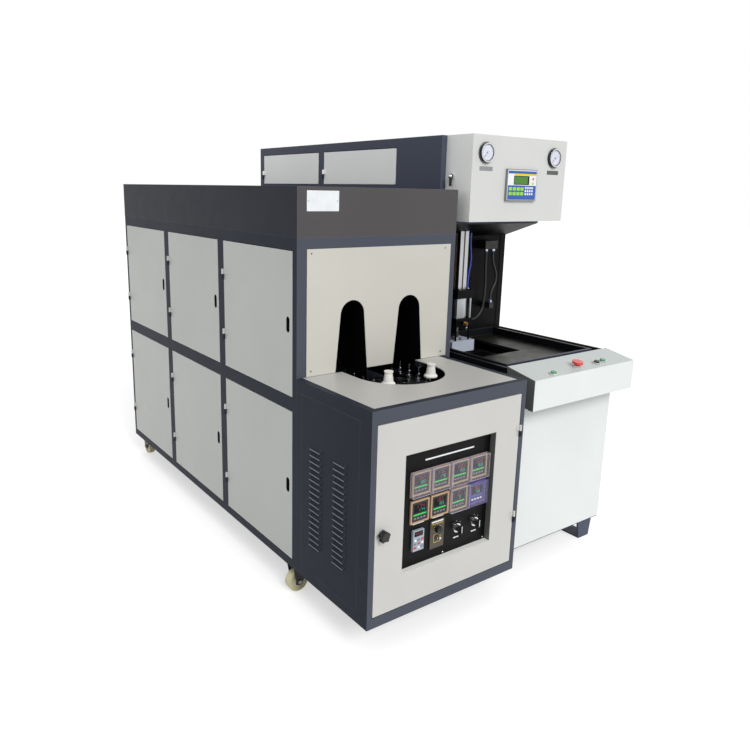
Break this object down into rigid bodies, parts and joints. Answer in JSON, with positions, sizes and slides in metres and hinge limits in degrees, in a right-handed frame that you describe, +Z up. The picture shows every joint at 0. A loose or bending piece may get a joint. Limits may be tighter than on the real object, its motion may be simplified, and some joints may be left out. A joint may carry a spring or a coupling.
{
  "type": "stretch blow moulding machine",
  "caption": "Bottle blow moulding line: a long tunnel oven on castors with hinged side doors and a chain of mandrels, beside a tall station with an overhanging blow head above a table.",
  "frame": {"origin": "middle of the footprint, on the floor that the feet and castors stand on", "axes": "+Z up, the operator's side faces -Y, +X to the operator's right"},
  "size_m": [1.246, 2.011, 1.535],
  "materials": {
    "dark_frame": "satin",
    "hood_grey": "satin",
    "door_grey": "satin",
    "light_panel": "satin",
    "blow_white": "satin",
    "plate_steel": "brushed",
    "bright_steel": "polished",
    "extrusion": "anodised",
    "black_plastic": "matte",
    "panel_black": "satin",
    "grey_plastic": "matte",
    "blue_plastic": "gloss",
    "red_plastic": "gloss",
    "green_plastic": "gloss",
    "clear_cover": "gloss",
    "tube_glass": "gloss",
    "hose_rubber": "matte",
    "wheel_rubber": "matte"
  },
  "bodies": {
    "base": {"oven_body": "dark_frame", "oven_hood": "hood_grey", "oven_front_panel": "light_panel", "tunnel_liners": "dark_frame", "fixed_hinges": "plate_steel", "control_box": "dark_frame", "louvre_panel": "dark_frame", "deck_plate": "light_panel", "conveyor": "plate_steel", "lamp_tubes": "tube_glass", "blow_body": "dark_frame", "head_cover": "light_panel", "gauge_bodies": "bright_steel", "display_unit": "grey_plastic", "table_top": "plate_steel", "console": "blow_white", "front_panel": "blow_white", "button_bezels": "bright_steel", "seal_cylinder": "extrusion", "stretch_cylinder": "extrusion", "air_hoses": "hose_rubber", "tie_bars": "bright_steel"},
    "control_door": {"control_door": "light_panel", "instrument_panel": "panel_black", "meter_housings": "black_plastic", "meter_covers": "clear_cover", "drive_keypad": "blue_plastic", "speed_plate": "black_plastic"},
    "upper_front_door": {"upper_front_door": "door_grey"},
    "upper_middle_door": {"upper_middle_door": "door_grey"},
    "upper_rear_door": {"upper_rear_door": "door_grey"},
    "lower_front_door": {"lower_front_door": "door_grey"},
    "lower_middle_door": {"lower_middle_door": "door_grey"},
    "lower_rear_door": {"lower_rear_door": "door_grey"},
    "latch_knob": {"latch_knob": "black_plastic"},
    "speed_knob": {"speed_knob": "black_plastic"},
    "left_selector": {"left_selector": "black_plastic"},
    "right_selector": {"right_selector": "black_plastic"},
    "toggle_lever": {"toggle_lever": "bright_steel"},
    "left_mandrel": {"left_mandrel": "bright_steel"},
    "right_mandrel": {"right_mandrel": "bright_steel"},
    "front_left_fork": {"front_left_fork": "dark_frame"},
    "front_left_wheel": {"front_left_wheel": "wheel_rubber"},
    "front_right_fork": {"front_right_fork": "dark_frame"},
    "front_right_wheel": {"front_right_wheel": "wheel_rubber"},
    "rear_left_fork": {"rear_left_fork": "dark_frame"},
    "rear_left_wheel": {"rear_left_wheel": "wheel_rubber"},
    "rear_right_fork": {"rear_right_fork": "dark_frame"},
    "rear_right_wheel": {"rear_right_wheel": "wheel_rubber"},
    "front_flap": {"front_flap": "door_grey"},
    "rear_flap": {"rear_flap": "door_grey"},
    "head_latch": {"head_latch": "black_plastic"},
    "start_button": {"start_button": "green_plastic"},
    "emergency_button": {"emergency_button": "red_plastic"},
    "stop_button": {"stop_button": "black_plastic"},
    "clamp_button": {"clamp_button": "green_plastic"},
    "blow_nozzle": {"blow_nozzle": "bright_steel"},
    "stretch_rod": {"stretch_rod": "bright_steel"},
    "left_platen": {"left_platen": "plate_steel"},
    "right_platen": {"right_platen": "plate_steel"}
  },
  "joints": [
    {"name": "upper_front_door_hinge", "type": "hinge", "parent": "base", "child": "upper_front_door", "pos_m": [-0.619, -0.08942, 0.9255], "axis": [0, 0, -1], "range_deg": [0, 105]},
    {"name": "upper_middle_door_hinge", "type": "hinge", "parent": "base", "child": "upper_middle_door", "pos_m": [-0.619, 0.43592, 0.9255], "axis": [0, 0, -1], "range_deg": [0, 105]},
    {"name": "upper_rear_door_hinge", "type": "hinge", "parent": "base", "child": "upper_rear_door", "pos_m": [-0.619, 0.96125, 0.9255], "axis": [0, 0, -1], "range_deg": [0, 105]},
    {"name": "lower_front_door_hinge", "type": "hinge", "parent": "base", "child": "lower_front_door", "pos_m": [-0.619, -0.08942, 0.391], "axis": [0, 0, -1], "range_deg": [0, 105]},
    {"name": "lower_middle_door_hinge", "type": "hinge", "parent": "base", "child": "lower_middle_door", "pos_m": [-0.619, 0.43592, 0.391], "axis": [0, 0, -1], "range_deg": [0, 105]},
    {"name": "lower_rear_door_hinge", "type": "hinge", "parent": "base", "child": "lower_rear_door", "pos_m": [-0.619, 0.96125, 0.391], "axis": [0, 0, -1], "range_deg": [0, 105]},
    {"name": "control_door_hinge", "type": "hinge", "parent": "base", "child": "control_door", "pos_m": [-0.01725, -0.9865, 0.429], "axis": [0, 0, 1], "range_deg": [0, 110]},
    {"name": "latch_knob_turn", "type": "hinge", "parent": "control_door", "child": "latch_knob", "pos_m": [-0.572, -0.9935, 0.395], "axis": [0, 1, 0], "range_deg": [0, 90]},
    {"name": "speed_knob_turn", "type": "hinge", "parent": "control_door", "child": "speed_knob", "pos_m": [-0.338, -0.9705, 0.338], "axis": [0, 1, 0], "range_deg": [-140, 140]},
    {"name": "left_selector_turn", "type": "hinge", "parent": "control_door", "child": "left_selector", "pos_m": [-0.253, -0.9715, 0.317], "axis": [0, 1, 0], "range_deg": [-45, 45]},
    {"name": "right_selector_turn", "type": "hinge", "parent": "control_door", "child": "right_selector", "pos_m": [-0.176, -0.9715, 0.317], "axis": [0, 1, 0], "range_deg": [-45, 45]},
    {"name": "toggle_lever_throw", "type": "hinge", "parent": "control_door", "child": "toggle_lever", "pos_m": [-0.338, -0.9665, 0.308], "axis": [1, 0, 0], "range_deg": [0, 45]},
    {"name": "left_mandrel_spin", "type": "hinge", "parent": "base", "child": "left_mandrel", "pos_m": [-0.37471, -0.75082, 0.74], "axis": [0, 0, 1], "continuous": true},
    {"name": "right_mandrel_spin", "type": "hinge", "parent": "base", "child": "right_mandrel", "pos_m": [-0.19729, -0.75082, 0.74], "axis": [0, 0, 1], "continuous": true},
    {"name": "front_left_swivel", "type": "hinge", "parent": "base", "child": "front_left_fork", "pos_m": [-0.556, -0.5435, 0.095], "axis": [0, 0, 1], "continuous": true},
    {"name": "front_left_roll", "type": "hinge", "parent": "front_left_fork", "child": "front_left_wheel", "pos_m": [-0.581, -0.5435, 0.0375], "axis": [0, 1, 0], "continuous": true},
    {"name": "front_right_swivel", "type": "hinge", "parent": "base", "child": "front_right_fork", "pos_m": [-0.022, -0.5435, 0.095], "axis": [0, 0, 1], "continuous": true},
    {"name": "front_right_roll", "type": "hinge", "parent": "front_right_fork", "child": "front_right_wheel", "pos_m": [-0.047, -0.5435, 0.0375], "axis": [0, 1, 0], "continuous": true},
    {"name": "rear_left_swivel", "type": "hinge", "parent": "base", "child": "rear_left_fork", "pos_m": [-0.556, 0.9215, 0.095], "axis": [0, 0, 1], "continuous": true},
    {"name": "rear_left_roll", "type": "hinge", "parent": "rear_left_fork", "child": "rear_left_wheel", "pos_m": [-0.556, 0.9465, 0.0375], "axis": [1, 0, 0], "continuous": true},
    {"name": "rear_right_swivel", "type": "hinge", "parent": "base", "child": "rear_right_fork", "pos_m": [-0.022, 0.9215, 0.095], "axis": [0, 0, 1], "continuous": true},
    {"name": "rear_right_roll", "type": "hinge", "parent": "rear_right_fork", "child": "rear_right_wheel", "pos_m": [-0.022, 0.9465, 0.0375], "axis": [1, 0, 0], "continuous": true},
    {"name": "front_flap_hinge", "type": "hinge", "parent": "base", "child": "front_flap", "pos_m": [0.058, 0.28825, 1.43], "axis": [0, 0, -1], "range_deg": [0, 100]},
    {"name": "rear_flap_hinge", "type": "hinge", "parent": "base", "child": "rear_flap", "pos_m": [0.058, 0.83825, 1.43], "axis": [0, 0, -1], "range_deg": [0, 100]},
    {"name": "head_latch_turn", "type": "hinge", "parent": "base", "child": "head_latch", "pos_m": [0.078, -0.5105, 1.392], "axis": [-1, 0, 0], "range_deg": [0, 90]},
    {"name": "start_button_push", "type": "slide", "parent": "base", "child": "start_button", "axis": [0, 0.1882, -0.9821], "range_m": [0, 0.003], "stiffness_N_per_m": 800, "springref_m": -0.002},
    {"name": "emergency_button_push", "type": "slide", "parent": "base", "child": "emergency_button", "axis": [0, 0.1882, -0.9821], "range_m": [0, 0.003], "stiffness_N_per_m": 800, "springref_m": -0.002},
    {"name": "stop_button_push", "type": "slide", "parent": "base", "child": "stop_button", "axis": [0, 0.1882, -0.9821], "range_m": [0, 0.003], "stiffness_N_per_m": 800, "springref_m": -0.002},
    {"name": "clamp_button_push", "type": "slide", "parent": "base", "child": "clamp_button", "axis": [0, 0.1882, -0.9821], "range_m": [0, 0.003], "stiffness_N_per_m": 800, "springref_m": -0.002},
    {"name": "blow_nozzle_stroke", "type": "slide", "parent": "base", "child": "blow_nozzle", "axis": [0, 0, -1], "range_m": [0, 0.06]},
    {"name": "stretch_rod_stroke", "type": "slide", "parent": "base", "child": "stretch_rod", "axis": [0, 0, -1], "range_m": [0, 0.4]},
    {"name": "left_platen_stroke", "type": "slide", "parent": "base", "child": "left_platen", "axis": [1, 0, 0], "range_m": [0, 0.06]},
    {"name": "right_platen_stroke", "type": "slide", "parent": "base", "child": "right_platen", "axis": [-1, 0, 0], "range_m": [0, 0.06]}
  ],
  "couplings": [
    {"joint": "right_platen_stroke", "follows": "left_platen_stroke", "ratio": 1}
  ]
}
